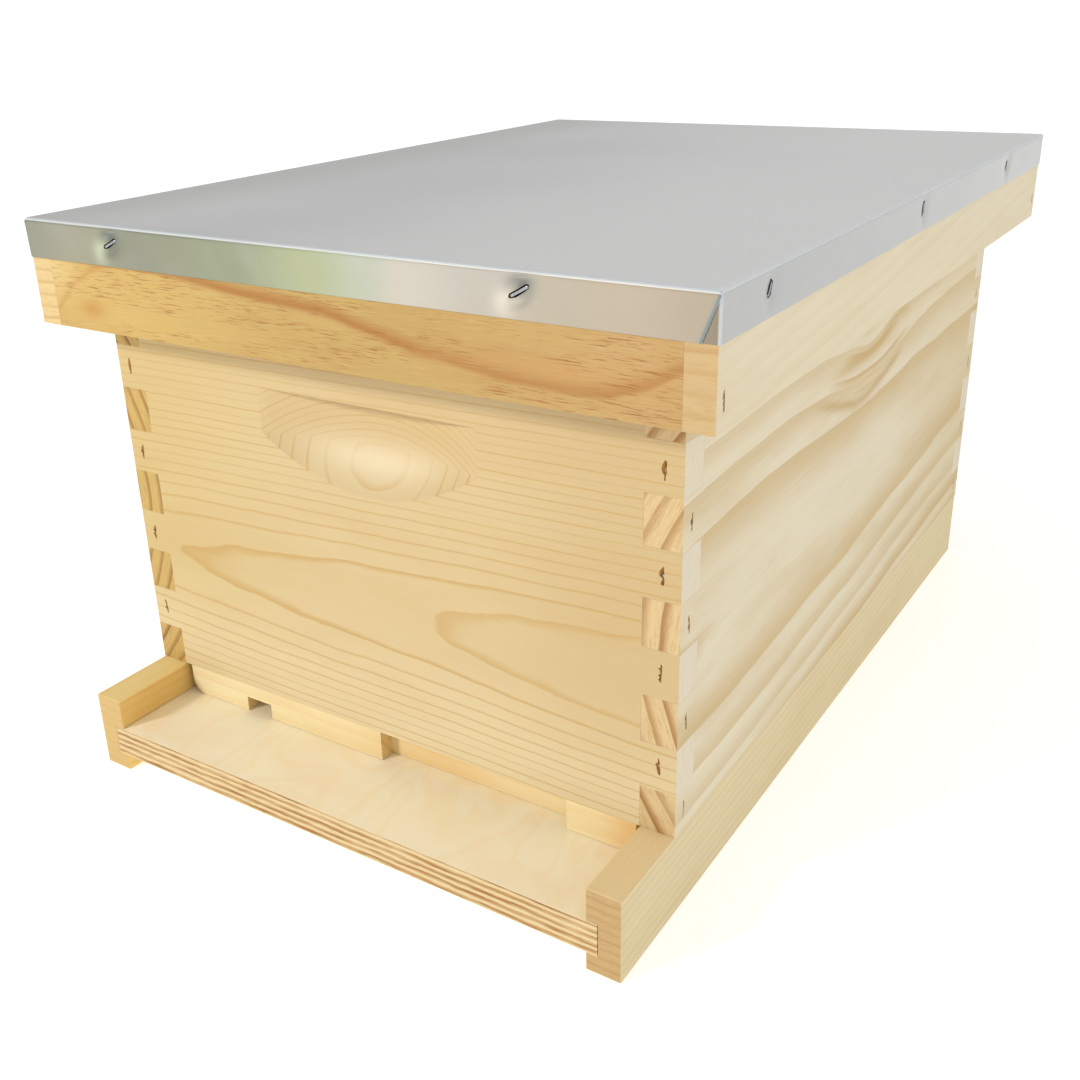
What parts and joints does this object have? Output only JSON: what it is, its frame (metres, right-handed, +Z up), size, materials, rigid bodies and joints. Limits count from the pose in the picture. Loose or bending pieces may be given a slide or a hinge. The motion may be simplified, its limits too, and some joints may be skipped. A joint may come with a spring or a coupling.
{
  "type": "beehive",
  "caption": "Box-jointed wooden beehive with a bottom board, entrance reducer, lift-out comb frames, inner cover and metal-topped telescoping cover.",
  "frame": {"origin": "on the ground, under the middle of the whole hive's outline", "axes": "+Z up; the entrance faces -Y, so +Y runs from front to back; +X is the right side seen from the front"},
  "size_m": [0.403, 0.5746, 0.3245],
  "materials": {
    "pine": "planed, unpainted pine",
    "pale_pine": "planed, unpainted pale pine",
    "orange_pine": "planed, resinous pine",
    "birch_plywood": "sanded birch plywood",
    "zinc_sheet": "satin galvanised sheet",
    "foundation": "wax-coated sheet embossed with hexagons"
  },
  "bodies": {
    "bottom_board": {"bottom_rail_left": "pine", "bottom_rail_right": "pale_pine", "floor_panel": "birch_plywood", "bottom_back_rail": "pine"},
    "entrance_reducer": {"entrance_reducer": "pine"},
    "hive_body": {"body_front_board": "pine", "body_back_board": "pine", "body_left_board": "pine", "body_right_board": "pale_pine"},
    "frame_1": {"frame_1_top_bar": "pine", "frame_1_front_end_bar": "pale_pine", "frame_1_back_end_bar": "pale_pine", "frame_1_bottom_bar": "pine", "frame_1_foundation": "foundation"},
    "frame_2": {"frame_2_top_bar": "pine", "frame_2_front_end_bar": "pale_pine", "frame_2_back_end_bar": "pale_pine", "frame_2_bottom_bar": "pine", "frame_2_foundation": "foundation"},
    "frame_3": {"frame_3_top_bar": "pine", "frame_3_front_end_bar": "pale_pine", "frame_3_back_end_bar": "pale_pine", "frame_3_bottom_bar": "pine", "frame_3_foundation": "foundation"},
    "frame_4": {"frame_4_top_bar": "pine", "frame_4_front_end_bar": "pale_pine", "frame_4_back_end_bar": "pale_pine", "frame_4_bottom_bar": "pine", "frame_4_foundation": "foundation"},
    "frame_5": {"frame_5_top_bar": "pine", "frame_5_front_end_bar": "pale_pine", "frame_5_back_end_bar": "pale_pine", "frame_5_bottom_bar": "pine", "frame_5_foundation": "foundation"},
    "frame_6": {"frame_6_top_bar": "pine", "frame_6_front_end_bar": "pale_pine", "frame_6_back_end_bar": "pale_pine", "frame_6_bottom_bar": "pine", "frame_6_foundation": "foundation"},
    "frame_7": {"frame_7_top_bar": "pine", "frame_7_front_end_bar": "pale_pine", "frame_7_back_end_bar": "pale_pine", "frame_7_bottom_bar": "pine", "frame_7_foundation": "foundation"},
    "frame_8": {"frame_8_top_bar": "pine", "frame_8_front_end_bar": "pale_pine", "frame_8_back_end_bar": "pale_pine", "frame_8_bottom_bar": "pine", "frame_8_foundation": "foundation"},
    "inner_cover": {"inner_cover_left_rim": "pine", "inner_cover_right_rim": "pine", "inner_cover_front_rim": "pine", "inner_cover_back_rim": "pine", "inner_cover_panel": "birch_plywood"},
    "outer_cover": {"cover_top_board": "birch_plywood", "cover_left_rim": "pine", "cover_right_rim": "pale_pine", "cover_front_rim": "orange_pine", "cover_back_rim": "pine", "cover_metal_sheet": "zinc_sheet"}
  },
  "joints": [
    {"name": "hive_body_lift", "type": "slide", "parent": "bottom_board", "child": "hive_body", "axis": [0, 0, 1], "range_m": [0, 0.2]},
    {"name": "entrance_reducer_slide", "type": "slide", "parent": "bottom_board", "child": "entrance_reducer", "axis": [0, -1, 0], "range_m": [0, 0.075]},
    {"name": "inner_cover_lift", "type": "slide", "parent": "hive_body", "child": "inner_cover", "axis": [0, 0, 1], "range_m": [0, 0.5]},
    {"name": "outer_cover_lift", "type": "slide", "parent": "inner_cover", "child": "outer_cover", "axis": [0, 0, 1], "range_m": [0, 0.15]},
    {"name": "frame_1_lift", "type": "slide", "parent": "hive_body", "child": "frame_1", "axis": [0, 0, 1], "range_m": [0, 0.25]},
    {"name": "frame_2_lift", "type": "slide", "parent": "hive_body", "child": "frame_2", "axis": [0, 0, 1], "range_m": [0, 0.25]},
    {"name": "frame_3_lift", "type": "slide", "parent": "hive_body", "child": "frame_3", "axis": [0, 0, 1], "range_m": [0, 0.25]},
    {"name": "frame_4_lift", "type": "slide", "parent": "hive_body", "child": "frame_4", "axis": [0, 0, 1], "range_m": [0, 0.25]},
    {"name": "frame_5_lift", "type": "slide", "parent": "hive_body", "child": "frame_5", "axis": [0, 0, 1], "range_m": [0, 0.25]},
    {"name": "frame_6_lift", "type": "slide", "parent": "hive_body", "child": "frame_6", "axis": [0, 0, 1], "range_m": [0, 0.25]},
    {"name": "frame_7_lift", "type": "slide", "parent": "hive_body", "child": "frame_7", "axis": [0, 0, 1], "range_m": [0, 0.25]},
    {"name": "frame_8_lift", "type": "slide", "parent": "hive_body", "child": "frame_8", "axis": [0, 0, 1], "range_m": [0, 0.25]}
  ],
  "couplings": [
    {"joint": "frame_1_lift", "follows": "inner_cover_lift", "ratio": 0.5},
    {"joint": "frame_2_lift", "follows": "inner_cover_lift", "ratio": 0.5},
    {"joint": "frame_3_lift", "follows": "inner_cover_lift", "ratio": 0.5},
    {"joint": "frame_4_lift", "follows": "inner_cover_lift", "ratio": 0.5},
    {"joint": "frame_5_lift", "follows": "inner_cover_lift", "ratio": 0.5},
    {"joint": "frame_6_lift", "follows": "inner_cover_lift", "ratio": 0.5},
    {"joint": "frame_7_lift", "follows": "inner_cover_lift", "ratio": 0.5},
    {"joint": "frame_8_lift", "follows": "inner_cover_lift", "ratio": 0.5}
  ]
}
